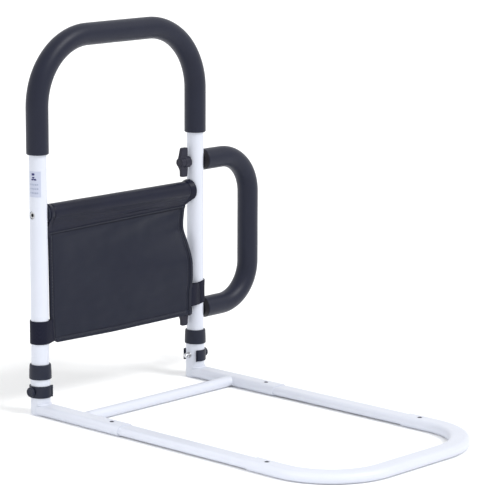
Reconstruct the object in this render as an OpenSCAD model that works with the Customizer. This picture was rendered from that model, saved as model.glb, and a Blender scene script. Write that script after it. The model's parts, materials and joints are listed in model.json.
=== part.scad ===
// Bed assist rail: padded hoop, side handle and pouch on a flat under-mattress base.
// Built with the hoop in the XZ plane; the base runs towards -Y and rests on Z = 0.

/* [Hoop] */
// centre distance of the two hoop legs
leg_span = 311; // [280:1:340]
// height of the hoop's top centreline
hoop_h = 530; // [460:1:600]
// centreline radius of the hoop's upper bends
hoop_bend = 95; // [60:1:130]
// outside diameter of the hoop tube
tube_d = 25; // [22:0.5:28]
// wall of the hoop tube
tube_wall = 1.5; // [1:0.1:2]
// outside diameter of the hoop's foam grip
foam_d = 32; // [29:0.5:38]
// height of the lower ends of the hoop's foam grip
foam_end_z = 370; // [350:1:420]

/* [Side handle] */
// reach of the handle's upright from the leg it is bolted to
handle_reach = 113.5; // [90:0.5:140]
// height of the handle's upper branch
handle_top_z = 327; // [300:1:350]
// height of the handle's lower branch
handle_low_z = 103; // [90:1:140]
// centreline radius of the handle's bends
handle_bend = 59; // [40:1:80]
// outside diameter of the handle tube
handle_tube_d = 22; // [19:0.5:25]
// outside diameter of the handle's foam grip
handle_foam_d = 31.5; // [28:0.5:36]

/* [Base] */
// distance from the hoop plane to the front tube's centreline
base_l = 553; // [450:1:650]
// centreline radius of the base's front corners
base_bend = 92; // [60:1:130]
// width of the flat-oval base tube
oval_w = 30; // [24:0.5:36]
// height of the flat-oval base tube
oval_h = 15; // [12:0.5:18]
// wall of the flat-oval base tube
oval_wall = 1.25; // [1:0.05:2]
// diameter of the cross tube
cross_d = 15.5; // [12:0.5:20]
// distance from the hoop plane to the cross tube
cross_y = 82; // [60:1:110]
// distance from the hoop plane to the rear tube joints
rear_joint_y = 171; // [150:1:200]
// distance from the hoop plane to the front tube joints
front_joint_y = 411; // [380:1:430]
// distance from the hoop plane to the rear snap buttons
rear_button_y = 145; // [120:1:160]
// distance from the hoop plane to the front snap buttons
front_button_y = 435; // [425:1:455]

/* [Leg sockets] */
// outside diameter of the sockets
socket_d = 28; // [26.5:0.5:32]
// height of the sockets
socket_h = 62; // [50:1:80]
// height of the collar's lower edge
collar_z = 51.5; // [45:0.5:60]
// height of the collar
collar_h = 21; // [15:0.5:26]
// height of the locking pin's axis
pin_z = 34; // [28:0.5:38]
// diameter of the locking pin
pin_d = 7; // [5:0.5:8]
// free upward travel of the hoop in its sockets
lift = 18; // [10:1:20]

/* [Pouch] */
// height of the pouch bar's axis
bar_z = 285.5; // [270:0.5:300]
// outside diameter of the pouch bar
bar_d = 22; // [16:0.5:24]
// height of the seam that closes the sleeve
seam_z = 258; // [250:1:265]
// height of the pouch's lower edge
pouch_z = 101; // [90:1:130]
// left edge of the pouch panel, from the hoop's centre
pouch_left = 139; // [120:1:142]
// right edge of the pouch panel, from the hoop's centre
pouch_right = 121; // [100:1:122]
// height of the pocket's open mouth
pocket_top_z = 215; // [180:1:230]
// width of the webbing straps
strap_w = 33; // [20:1:40]

/* [Knobs] */
// height of the wings, tip to tip
wing_span = 43.5; // [30:0.5:46]
// diameter of the threaded studs
stud_d = 8; // [6:1:10]

/* [Hidden] */
$fn = 96;
eps = 0.02;
run = 0.06;
leg_x = leg_span / 2;
leg_r = tube_d / 2;
oval_s = (oval_w - oval_h) / 2;
oval_r = oval_h / 2;
base_z = oval_r;
rail_gap = 0.05;
rail_r = oval_r - oval_wall - rail_gap;
socket_r = socket_d / 2;
band_r0 = socket_r + 0.05;
band_r1 = socket_r + 2;
band_turn = 133;
lip_r = socket_r + 3.4;
screw_r = 5.4;
screw_face = 11;
head_r = 7;
head_t = 4.5;
head_gap = 0.3;
pin_tip = socket_r + 8.7;
button_r = 3;
button_top = oval_h + 0.5;
button_travel = 3.5;
flange_top = base_z + rail_r - oval_wall - 0.3;
flange_bot = flange_top - 1.2;
spring_floor = base_z - rail_r + oval_wall + eps;
handle_r = handle_tube_d / 2;
handle_foam_r = handle_foam_d / 2;
cap_end = leg_r + 2.4;
stud_r = stud_d / 2;
insert_r = 6;
knob_front = -33;
knob_back = -14.2;
sheet = 1.6;
panel_y0 = -8;
panel_y1 = -25;
panel_steps = 12;
slack_top = 232;
slack_low = 188;
pocket_x = 108;
pocket_y = 14;
x_min = -leg_x - band_r1 - head_gap - head_t;
x_max = leg_x + handle_reach + handle_foam_r;
y_min = -base_l - oval_w / 2;
y_max = foam_d / 2;
shift = [-(x_min + x_max) / 2, -(y_min + y_max) / 2, 0];

white = [0.90, 0.91, 0.95];
black = [0.13, 0.13, 0.15];
foam_c = [0.20, 0.20, 0.24];
cloth_c = [0.17, 0.17, 0.21];
metal_c = [0.72, 0.72, 0.74];
brass_c = [0.72, 0.58, 0.30];
label_c = [0.82, 0.84, 0.88];

// ---- helpers -------------------------------------------------------------------------------

module along_x(x, r, l) {
  translate([x, 0, 0])
    rotate([0, 90, 0])
      cylinder(r = r, h = l);
}

module stadium(s, r) {
  translate([-s, -r])
    square([2 * s, 2 * r]);
  translate([-s, 0])
    circle(r = r);
  translate([s, 0])
    circle(r = r);
}

// flat-oval bar along Y between two distances in front of the hoop plane
module oval_bar(y0, y1, s, r) {
  translate([0, -y0, 0])
    rotate([90, 0, 0])
      linear_extrude(y1 - y0)
        stadium(s, r);
}

// round bar bent through 90 degrees from +X up to +Z about its own centre
module round_bend(big, r) {
  rotate([90, 0, 0])
    rotate_extrude(angle = 90)
      translate([big, 0])
        circle(r = r);
}

// the hoop's centreline swept with a round bar of radius r, down to height z0
module hoop_sweep(r, z0) {
  top = hoop_h - hoop_bend;
  for (side = [-1, 1]) {
    translate([side * leg_x, 0, z0])
      cylinder(r = r, h = top - z0);
    translate([side * (leg_x - hoop_bend), 0, top])
      mirror([side < 0 ? 1 : 0, 0, 0])
        round_bend(hoop_bend, r);
  }
  translate([0, 0, hoop_h])
    along_x(-leg_x + hoop_bend, r, leg_span - 2 * hoop_bend);
}

// the side handle's centreline swept with a round bar, from x0 outside the leg's axis
module handle_sweep(r, x0) {
  straight = handle_reach - handle_bend;
  translate([leg_x, 0, handle_top_z])
    along_x(x0, r, straight - x0);
  translate([leg_x, 0, handle_low_z])
    along_x(x0, r, straight - x0);
  translate([leg_x + straight, 0, handle_top_z - handle_bend])
    round_bend(handle_bend, r);
  translate([leg_x + straight, 0, handle_low_z + handle_bend])
    mirror([0, 0, 1])
      round_bend(handle_bend, r);
  translate([leg_x + handle_reach, 0, handle_low_z + handle_bend])
    cylinder(r = r, h = handle_top_z - handle_low_z - 2 * handle_bend);
}

module loop_sweep(s, r, y0) {
  for (side = [-1, 1]) {
    translate([side * leg_x, 0, base_z])
      oval_bar(y0, base_l - base_bend, s, r);
    translate([side * (leg_x - base_bend), -base_l + base_bend, base_z])
      mirror([side < 0 ? 1 : 0, 0, 0])
        rotate([0, 0, -90])
          rotate_extrude(angle = 90)
            translate([base_bend, 0])
              stadium(s, r);
  }
  translate([0, -base_l, base_z])
    rotate([90, 0, 90])
      translate([0, 0, -leg_x + base_bend])
        linear_extrude(leg_span - 2 * base_bend)
          stadium(s, r);
}

// ---- base ----------------------------------------------------------------------------------

module socket(side) {
  color(white)
    translate([side * leg_x, 0, 0])
      difference() {
        cylinder(r = socket_r, h = socket_h);
        translate([0, 0, -1])
          cylinder(r = leg_r + run, h = socket_h + 2);
        translate([0, 0, pin_z])
          along_x(-socket_r - 1, pin_d / 2 + run, socket_d + 2);
      }
}

module stub(side) {
  color(white)
    difference() {
      translate([side * leg_x, 0, base_z])
        difference() {
          oval_bar(6, rear_joint_y, oval_s, oval_r);
          oval_bar(5, rear_joint_y + 1, oval_s, oval_r - oval_wall);
        }
      translate([side * leg_x, 0, -1])
        cylinder(r = socket_r + eps, h = oval_h + 2);
      translate([side * leg_x, -rear_button_y, base_z])
        cylinder(r = button_r + 0.8, h = oval_h);
    }
}

module cross_tube() {
  reach = leg_x - oval_w / 2 - eps;
  color(white)
    translate([0, -cross_y, cross_d / 2])
      difference() {
        along_x(-reach, cross_d / 2, 2 * reach);
        along_x(-reach - 1, cross_d / 2 - 1.2, 2 * reach + 2);
      }
}

module rail(side) {
  y0 = rear_button_y - 27;
  y1 = front_button_y + 25;
  color(white)
    translate([side * leg_x, 0, base_z])
      difference() {
        oval_bar(y0, y1, oval_s, rail_r);
        oval_bar(y0 - 1, y1 + 1, oval_s, rail_r - oval_wall);
        for (y = [rear_button_y, front_button_y])
          translate([0, -y, 0])
            cylinder(r = button_r + run, h = oval_h);
      }
}

module front_loop() {
  color(white)
    difference() {
      loop_sweep(oval_s, oval_r, front_joint_y);
      loop_sweep(oval_s, oval_r - oval_wall, front_joint_y - 1);
      for (side = [-1, 1])
        translate([side * leg_x, -front_button_y, base_z])
          cylinder(r = button_r + 0.8, h = oval_h);
    }
}

module foot_plugs() {
  color(black)
    for (side = [-1, 1])
      translate([side * leg_x, 0, 0])
        difference() {
          cylinder(r = leg_r + run - eps, h = 5);
          translate([0, 0, 1.6])
            cylinder(r = leg_r - 2, h = 5);
        }
}

module collar(side) {
  color(black)
    translate([side * leg_x, 0, collar_z])
      rotate_extrude()
        polygon([
          [socket_r + eps, 0],
          [socket_r + 1.9, 0],
          [socket_r + 1.6, collar_h * 0.55],
          [socket_r + 1.1, collar_h - 0.8],
          [socket_r + 0.3, collar_h],
          [leg_r + run, collar_h],
          [leg_r + run, socket_h - collar_z + 0.2],
          [socket_r + eps, socket_h - collar_z + 0.2]
        ]);
}

// open spring band around the socket: its gap faces the pin's tip and both ends turn outwards
module clip_band(side) {
  color(black)
    translate([side * leg_x, 0, pin_z - 9])
      mirror([side > 0 ? 1 : 0, 0, 0])
        difference() {
          union() {
            rotate([0, 0, 180 - band_turn])
              rotate_extrude(angle = 2 * band_turn)
                translate([band_r0, 0])
                  square([band_r1 - band_r0, 17]);
            for (turn = [-1, 1])
              rotate([0, 0, 180 + turn * band_turn])
                translate([band_r0, turn > 0 ? -1.9 : 0, 0])
                  cube([lip_r - band_r0, 1.9, 17]);
          }
          translate([0, 0, 9])
            along_x(-band_r1 - 1, pin_d / 2 + run, 6);
        }
}

module clip_pin(side) {
  color(metal_c)
    translate([side * leg_x, 0, pin_z])
      mirror([side > 0 ? 1 : 0, 0, 0]) {
        along_x(-band_r1 - head_gap - head_t, head_r, head_t);
        along_x(-band_r1 - head_gap - 0.5, pin_d / 2, pin_tip - 1.9 + band_r1 + head_gap + 0.5);
        translate([pin_tip - 2, 0, 0])
          rotate([0, 90, 0])
            cylinder(r1 = pin_d / 2, r2 = pin_d / 2 - 1.6, h = 2);
      }
}

module button(side, y) {
  color(metal_c)
    translate([side * leg_x, -y, 0]) {
      translate([0, 0, flange_bot])
        cylinder(r = button_r + 1.2, h = flange_top - flange_bot);
      translate([0, 0, flange_top - 0.1])
        cylinder(r = button_r, h = button_top - flange_top - 0.9);
      translate([0, 0, button_top - 1])
        cylinder(r1 = button_r, r2 = button_r - 1.2, h = 1);
    }
}

// folded leaf under the button: one leg on the tube's floor, one rising to the button
module leaf_spring(side, y) {
  t = 0.5;
  top = flange_bot - eps - spring_floor;
  color(metal_c)
    translate([side * leg_x + 3, -y, spring_floor])
      rotate([0, -90, 0])
        linear_extrude(6)
          polygon([
            [0, -3],
            [0, 14],
            [t * 1.6, 15],
            [top, 4],
            [top, -3.4],
            [top - t, -3.4],
            [top - t, 3.6],
            [t * 2, 13],
            [t, 12],
            [t, -3]
          ]);
}

// ---- hoop ----------------------------------------------------------------------------------

module hoop_tube() {
  foot = 6;
  slot_r = pin_d / 2 + 0.3;
  color(white)
    difference() {
      hoop_sweep(leg_r, foot);
      hoop_sweep(leg_r - tube_wall, foot - 1);
      for (side = [-1, 1])
        translate([side * leg_x, 0, 0]) {
          translate([0, 0, pin_z])
            along_x(-leg_r - 1, slot_r, tube_d + 2);
          translate([0, 0, pin_z - lift])
            along_x(-leg_r - 1, slot_r, tube_d + 2);
          translate([-leg_r - 1, -slot_r, pin_z - lift])
            cube([tube_d + 2, 2 * slot_r, lift]);
          translate([0, 0, bar_z])
            along_x(-leg_r - 1, 3.15, tube_d + 2);
          translate([0, 0, bar_z])
            mirror([side < 0 ? 1 : 0, 0, 0])
              along_x(6, screw_r + 0.15, leg_r);
        }
      for (z = [handle_top_z, handle_low_z])
        translate([leg_x, 0, z])
          along_x(-leg_r - 1, stud_r + 0.15, tube_d + 2);
    }
}

module hoop_foam() {
  color(foam_c)
    difference() {
      hoop_sweep(foam_d / 2, foam_end_z);
      hoop_sweep(leg_r + eps, foam_end_z - 1);
    }
}

module label() {
  color(label_c)
    translate([-leg_x, 0, 311.5])
      rotate([0, 0, 167])
        rotate_extrude(angle = 80)
          translate([leg_r + eps, 0])
            square([0.2, 36]);
}

module pouch_bar() {
  l = leg_x - leg_r - 3;
  color(metal_c)
    translate([0, 0, bar_z])
      difference() {
        along_x(-l, bar_d / 2, 2 * l);
        along_x(-l - 1, bar_d / 2 - 1.2, 2 * l + 2);
      }
}

// plastic end of the pouch bar: a spigot in the bar and a flange shaped to the leg
module saddle(side) {
  bar_end = leg_x - leg_r - 3;
  color(black)
    mirror([side < 0 ? 1 : 0, 0, 0])
      difference() {
        translate([0, 0, bar_z])
          union() {
            along_x(bar_end + eps, bar_d / 2 + sheet, 5.5);
            along_x(bar_end - 16, bar_d / 2 - 1.2 - eps, 17);
          }
        translate([leg_x, 0, bar_z - 20])
          cylinder(r = leg_r + eps, h = 40);
        translate([0, 0, bar_z])
          along_x(bar_end - 17, 3 + eps, 40);
      }
}

// barrel-headed screws: the head sits flush in the leg's outer wall and bears on the inner one
module bar_screws() {
  color(metal_c)
    for (side = [0, 1])
      mirror([side, 0, 0])
        translate([leg_x, 0, bar_z])
          difference() {
            union() {
              along_x(-leg_r - 16, 3, leg_r + 16);
              along_x(-9.5, screw_r, screw_face - 0.6 + 9.5);
              translate([screw_face - 0.6, 0, 0])
                rotate([0, 90, 0])
                  cylinder(r1 = screw_r, r2 = screw_r - 0.7, h = 0.6);
            }
            translate([screw_face - 2.6, 0, 0])
              rotate([0, 90, 0])
                cylinder(r = 2.9, h = 4, $fn = 6);
          }
}

// ---- pouch ---------------------------------------------------------------------------------

function panel_y(x) = panel_y0 + (panel_y1 - panel_y0) * (x + pouch_left) / (pouch_left + pouch_right);

// clears the space in front of a pocket wall where the slack panel leans back towards the bar
module slack_cut(x0, x1, y) {
  translate([x0, 0, 0])
    rotate([90, 0, 90])
      linear_extrude(x1 - x0)
        polygon([
          [-60, slack_low - 2],
          [y, slack_low - 2],
          [panel_y0 + sheet + 0.8, slack_top - 2],
          [-60, slack_top - 2]
        ]);
}

module pouch_sleeve() {
  l = leg_x - leg_r - 3.4;
  r = bar_d / 2 + sheet;
  color(cloth_c)
    translate([-l, 0, bar_z])
      rotate([90, 0, 90])
        linear_extrude(2 * l)
          difference() {
            union() {
              circle(r = r);
              polygon([[-r * 0.85, -r * 0.45], [r * 0.85, -r * 0.45],
                [sheet, seam_z - bar_z], [-sheet, seam_z - bar_z]]);
            }
            circle(r = bar_d / 2 + eps);
          }
}

module pouch_panel() {
  w = (pouch_left + pouch_right) / panel_steps;
  color(cloth_c)
    for (i = [0 : panel_steps - 1])
      translate([-pouch_left + i * w, 0, 0])
        rotate([90, 0, 90])
          linear_extrude(w + (i < panel_steps - 1 ? 0.2 : 0))
            polygon([
              [-sheet, seam_z - eps],
              [panel_y0 - sheet, slack_top],
              [panel_y(-pouch_left + (i + 0.5) * w) - sheet, slack_low],
              [panel_y(-pouch_left + (i + 0.5) * w) - sheet, pouch_z],
              [panel_y(-pouch_left + (i + 0.5) * w) + sheet, pouch_z],
              [panel_y(-pouch_left + (i + 0.5) * w) + sheet, slack_low],
              [panel_y0 + sheet, slack_top],
              [sheet, seam_z - eps]
            ]);
}

module pouch_pocket() {
  y_l = panel_y(-pocket_x) + sheet + 0.8;
  y_r = panel_y(pocket_x) + sheet + 0.8;
  color(cloth_c)
    difference() {
      translate([0, 0, pouch_z])
        linear_extrude(pocket_top_z - pouch_z)
          polygon([[-pocket_x, y_l], [pocket_x, y_r], [pocket_x, pocket_y], [-pocket_x, pocket_y]]);
      translate([0, 0, pouch_z + sheet])
        linear_extrude(pocket_top_z)
          polygon([
            [-pocket_x + sheet, y_l - 30],
            [pocket_x - sheet, y_r - 30],
            [pocket_x - sheet, pocket_y - sheet],
            [-pocket_x + sheet, pocket_y - sheet]
          ]);
      slack_cut(-pocket_x - 1, -pocket_x + 3, y_l);
      slack_cut(pocket_x - 3, pocket_x + 1, y_r);
    }
}

// webbing ring around a leg with a tail that runs to the pouch panel
module strap(side, z, tail) {
  r0 = leg_r + 0.1;
  r1 = leg_r + sheet;
  color(black)
    translate([0, 0, z])
      linear_extrude(strap_w) {
        translate([side * leg_x, 0])
          difference() {
            circle(r = r1);
            circle(r = r0);
          }
        difference() {
          polygon(tail);
          translate([side * leg_x, 0])
            circle(r = r0 + 0.4);
        }
      }
}

module left_strap() {
  y = panel_y(-pouch_left + (pouch_left + pouch_right) / panel_steps / 2);
  strap(-1, 102, [
    [-leg_x, -leg_r - sheet],
    [-leg_x, -leg_r - 0.8],
    [-leg_x + 9, -leg_r + 1.6],
    [-pouch_left + 4, y - sheet - 0.1],
    [-pouch_left + 12, y - sheet - 0.1],
    [-pouch_left + 12, y - 2 * sheet],
    [-pouch_left + 3, y - 2 * sheet - 0.2]
  ]);
}

// sewn to the panel's far face; its lower edge is relieved over the side handle's lower end
module right_strap() {
  y = panel_y(pouch_right - (pouch_left + pouch_right) / panel_steps / 2) + sheet + 0.1;
  difference() {
    strap(1, 111, [
      [leg_x - 2, -leg_r - sheet],
      [leg_x - 2, -leg_r],
      [leg_x - 17, y + sheet],
      [pouch_right - 12, y + sheet],
      [pouch_right - 12, y],
      [leg_x - 18, y]
    ]);
    translate([leg_x, 0, handle_low_z])
      along_x(4, handle_foam_r + 0.3, 20);
  }
}

// ---- side handle ---------------------------------------------------------------------------

module side_handle_tube() {
  color(white)
    difference() {
      handle_sweep(handle_r, cap_end + 0.4);
      handle_sweep(handle_r - 1.5, cap_end - 1);
    }
}

module side_handle_foam() {
  color(foam_c)
    difference() {
      handle_sweep(handle_foam_r, cap_end + eps);
      handle_sweep(handle_r + eps, cap_end - 1);
    }
}

module handle_cap(z) {
  color(black)
    translate([leg_x, 0, z])
      difference() {
        along_x(6.5, handle_foam_r - 0.6, cap_end - 6.5);
        translate([0, 0, -20])
          cylinder(r = leg_r + eps, h = 40);
        along_x(0, stud_r + eps, 40);
      }
}

module handle_studs() {
  color(metal_c)
    for (z = [handle_top_z, handle_low_z])
      translate([leg_x, 0, z])
        along_x(-26, stud_r, 64);
}

module handle_plugs() {
  color(metal_c)
    for (z = [handle_top_z, handle_low_z])
      translate([leg_x, 0, z])
        difference() {
          along_x(cap_end + 1, handle_r - 1.5 - eps, 26);
          along_x(cap_end, stud_r + eps, 30);
        }
}

module knob_washers() {
  color(metal_c)
    for (z = [handle_top_z, handle_low_z])
      translate([leg_x, 0, z])
        difference() {
          along_x(-leg_r - 1.4, 7.5, 1.3);
          along_x(-leg_r - 2, stud_r + 0.2, 4);
        }
}

module wing_knob(z) {
  half = wing_span / 2;
  color(black)
    translate([leg_x, 0, z])
      difference() {
        union() {
          along_x(knob_front, 7.2, 8);
          along_x(knob_back - 11, 8.2, 11);
          translate([0, 2.75, 0])
            rotate([90, 0, 0])
              linear_extrude(5.5)
                polygon([
                  [-33, -8],
                  [-31, -half + 2],
                  [-29, -half],
                  [-21.5, -half],
                  [-19.5, -half + 3],
                  [-18, -7],
                  [-18, 7],
                  [-18.5, half - 2],
                  [-20.5, half],
                  [-28, half],
                  [-30, half - 3],
                  [-33, 8]
                ]);
        }
        along_x(-27, stud_r + 0.2, 20);
        along_x(-24, insert_r + eps, 20);
      }
}

module knob_insert(z) {
  color(brass_c)
    translate([leg_x, 0, z])
      difference() {
        along_x(-24 + eps, insert_r, 24 + knob_back - 0.2);
        along_x(-25, stud_r + run, 14);
      }
}

// ---- assembly ------------------------------------------------------------------------------

// the part's own frame: origin on the floor, under the middle of its bounding box
module placed() {
  translate(shift)
    children();
}

placed() socket(-1);  // left_socket
placed() socket(1);  // right_socket
placed() stub(-1);  // left_stub
placed() stub(1);  // right_stub
placed() cross_tube();
placed() rail(-1);  // left_rail
placed() rail(1);  // right_rail
placed() front_loop();
placed() foot_plugs();
placed() collar(-1);  // left_collar
placed() collar(1);  // right_collar
placed() clip_band(-1);  // left_clip_band
placed() clip_band(1);  // right_clip_band
placed() clip_pin(-1);  // left_clip_pin
placed() clip_pin(1);  // right_clip_pin
placed() button(-1, rear_button_y);  // button_rear_left
placed() button(1, rear_button_y);  // button_rear_right
placed() button(-1, front_button_y);  // button_front_left
placed() button(1, front_button_y);  // button_front_right
placed() leaf_spring(-1, rear_button_y);  // spring_rear_left
placed() leaf_spring(1, rear_button_y);  // spring_rear_right
placed() leaf_spring(-1, front_button_y);  // spring_front_left
placed() leaf_spring(1, front_button_y);  // spring_front_right
placed() hoop_tube();
placed() hoop_foam();
placed() label();
placed() pouch_bar();
placed() saddle(-1);  // left_saddle
placed() saddle(1);  // right_saddle
placed() bar_screws();
placed() pouch_sleeve();
placed() pouch_panel();
placed() pouch_pocket();
placed() left_strap();
placed() right_strap();
placed() side_handle_tube();
placed() side_handle_foam();
placed() handle_cap(handle_top_z);  // upper_handle_cap
placed() handle_cap(handle_low_z);  // lower_handle_cap
placed() handle_studs();
placed() handle_plugs();
placed() wing_knob(handle_top_z);  // upper_knob
placed() wing_knob(handle_low_z);  // lower_knob
placed() knob_insert(handle_top_z);  // upper_insert
placed() knob_insert(handle_low_z);  // lower_insert
placed() knob_washers();
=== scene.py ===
import json
import math

import bmesh
import bpy
import numpy as np
from mathutils import Matrix, Vector, noise


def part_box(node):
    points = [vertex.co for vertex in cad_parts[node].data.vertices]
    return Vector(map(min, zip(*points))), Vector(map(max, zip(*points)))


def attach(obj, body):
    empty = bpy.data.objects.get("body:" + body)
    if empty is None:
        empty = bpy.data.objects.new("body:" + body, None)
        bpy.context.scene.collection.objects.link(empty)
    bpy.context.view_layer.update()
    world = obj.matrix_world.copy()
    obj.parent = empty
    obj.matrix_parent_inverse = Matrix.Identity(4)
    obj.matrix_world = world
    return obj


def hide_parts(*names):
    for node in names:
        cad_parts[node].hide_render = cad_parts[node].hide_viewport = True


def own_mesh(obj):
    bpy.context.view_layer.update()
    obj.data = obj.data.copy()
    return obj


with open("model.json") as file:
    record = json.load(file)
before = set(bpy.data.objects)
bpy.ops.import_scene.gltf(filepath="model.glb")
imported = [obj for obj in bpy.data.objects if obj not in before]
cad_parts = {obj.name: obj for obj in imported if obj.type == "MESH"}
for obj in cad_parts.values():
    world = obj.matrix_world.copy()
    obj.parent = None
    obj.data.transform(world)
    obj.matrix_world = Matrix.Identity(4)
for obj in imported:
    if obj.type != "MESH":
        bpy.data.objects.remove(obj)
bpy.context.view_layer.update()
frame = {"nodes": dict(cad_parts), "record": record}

SLOT_OF = {s["node"]: s["material_slot"] for s in frame["record"]["subparts"]}
MM = 0.001
TAU = math.tau


# ---- places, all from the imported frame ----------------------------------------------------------


def centre(node):
    """The middle of a node's box."""
    lo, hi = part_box(node)
    return (lo + hi) / 2


def size(node):
    """The three sides of a node's box."""
    lo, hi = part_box(node)
    return hi - lo


# lengths are in millimetres, heights are from the floor, and LEG is a leg's distance from the
# hoop's centre
LEFT = centre("left_socket")
RIGHT = centre("right_socket")
ORIGIN = Vector(((LEFT.x + RIGHT.x) / 2, LEFT.y, 0.0))
LEG = (RIGHT.x - LEFT.x) / 2 / MM
LEG_R = size("hoop_tube").x / 2 / MM - LEG
SOCKET_R = size("left_socket").x / 2 / MM

# the part's own numbers, which no box gives
HANDLE_TUBE_R = 11.0
HOOP_BEND = 95.0
HANDLE_BEND = 59.0

HOOP_FOAM_LOW, HOOP_FOAM_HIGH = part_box("hoop_foam")
FOAM_R = size("hoop_foam").y / 2 / MM
HOOP_TOP = HOOP_FOAM_HIGH.z / MM - FOAM_R
FOAM_END = HOOP_FOAM_LOW.z / MM

SIDE_FOAM_LOW, SIDE_FOAM_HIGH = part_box("side_handle_foam")
HANDLE_R = size("side_handle_foam").y / 2 / MM
HANDLE_LOW = SIDE_FOAM_LOW.z / MM + HANDLE_R
HANDLE_TOP = SIDE_FOAM_HIGH.z / MM - HANDLE_R
HANDLE_OUT = (SIDE_FOAM_HIGH.x - RIGHT.x) / MM - HANDLE_R
HANDLE_IN = (SIDE_FOAM_LOW.x - RIGHT.x) / MM

BAR_Z = centre("pouch_bar").z / MM
BAR_R = size("pouch_bar").z / 2 / MM
PIN_Z = centre("left_clip_pin").z / MM
LABEL_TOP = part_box("label")[1].z / MM


def side_name(side):
    """The word for side -1 or 1."""
    return "left" if side < 0 else "right"


def at(x, y, z):
    """A point given in millimetres from the hoop's centre on the floor, as a point of the frame."""
    return ORIGIN + Vector((x, y, z)) * MM


# ---- mesh helpers -------------------------------------------------------------------------------


def make(name, verts, faces):
    """A smooth mesh object from vertices in millimetres in the hoop's own frame."""
    mesh = bpy.data.meshes.new(name)
    mesh.from_pydata([at(*v) for v in verts], [], faces)
    mesh.update()
    for p in mesh.polygons:
        p.use_smooth = True
    ob = bpy.data.objects.new(name, mesh)
    bpy.context.scene.collection.objects.link(ob)
    return ob


def finish_piece(ob, body, material, replaces=()):
    """Gives a piece its material, its moving body and the nodes that it replaces."""
    ob.data.materials.clear()
    ob.data.materials.append(material)
    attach(ob, body)
    if replaces:
        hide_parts(*replaces)
    return ob


def grid_faces(rows, cols, wrap=False, flip=False):
    """The quads of a grid of vertices; wrap joins the last column to the first."""
    faces = []
    for i in range(rows - 1):
        for j in range(cols if wrap else cols - 1):
            k = (j + 1) % cols
            f = (i * cols + j, i * cols + k, (i + 1) * cols + k, (i + 1) * cols + j)
            faces.append(f[::-1] if flip else f)
    return faces


def frames(path):
    """The points of a path, and two normals at each, carried along without twist."""
    pts = [Vector(p) for p in path]
    n = len(pts)
    tangents = [(pts[min(i + 1, n - 1)] - pts[max(i - 1, 0)]).normalized() for i in range(n)]
    ref = Vector((0, 1, 0))
    if abs(tangents[0].dot(ref)) > 0.9:
        ref = Vector((1, 0, 0))
    out = []
    u = (ref - tangents[0] * ref.dot(tangents[0])).normalized()
    for t in tangents:
        u = (u - t * u.dot(t)).normalized()
        out.append((u, t.cross(u)))
    return pts, out


def open_sweep(name, path, section):
    """An open-ended skin along a path; section(i) gives the ring of 2D points at path point i."""
    pts, normals = frames(path)
    verts = []
    for i, (p, (u, v)) in enumerate(zip(pts, normals)):
        verts += [tuple(p + u * a + v * b) for a, b in section(i)]
    return make(name, verts, grid_faces(len(pts), len(verts) // len(pts), True, flip=True))


def arc(centre_pt, r, a0, a1, step_deg=3.0):
    """Points of an arc in the XZ plane, angles in degrees."""
    n = max(2, int(abs(a1 - a0) / step_deg))
    cx, cz = centre_pt
    angles = [math.radians(a0 + (a1 - a0) * i / n) for i in range(n + 1)]
    return [(cx + r * math.cos(a), 0.0, cz + r * math.sin(a)) for a in angles]


def line(a, b, step=3.0):
    """Points about step apart from a to b."""
    n = max(1, int((Vector(b) - Vector(a)).length / step))
    return [tuple(Vector(a).lerp(Vector(b), i / n)) for i in range(n + 1)]


def join_paths(*parts):
    """One path from several, without the points that two of them share."""
    path = []
    for part in parts:
        for p in part:
            if not path or (Vector(p) - Vector(path[-1])).length > 0.2:
                path.append(p)
    return path


def lathe(name, profile, place, axis="Z", segs=64):
    """profile is a list of (radius, height); place is the axis foot in the hoop's frame."""
    verts = []
    for r, h in profile:
        for j in range(segs):
            a = TAU * j / segs
            x, y = r * math.cos(a), r * math.sin(a)
            v = (x, y, h) if axis == "Z" else (h, x, y)
            verts.append(tuple(Vector(place) + Vector(v)))
    return make(name, verts, grid_faces(len(profile), segs, True))


def recalc(ob):
    """Merges doubled vertices and turns all faces outwards."""
    bm = bmesh.new()
    bm.from_mesh(ob.data)
    bmesh.ops.remove_doubles(bm, verts=bm.verts, dist=1e-6)
    bmesh.ops.recalc_face_normals(bm, faces=bm.faces)
    bm.to_mesh(ob.data)
    bm.free()
    return ob


def apply_all(ob):
    """Bakes the object's modifiers into its mesh."""
    dg = bpy.context.evaluated_depsgraph_get()
    mesh = bpy.data.meshes.new_from_object(ob.evaluated_get(dg))
    ob.modifiers.clear()
    ob.data = mesh
    return ob


# ---- materials ----------------------------------------------------------------------------------


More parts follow.
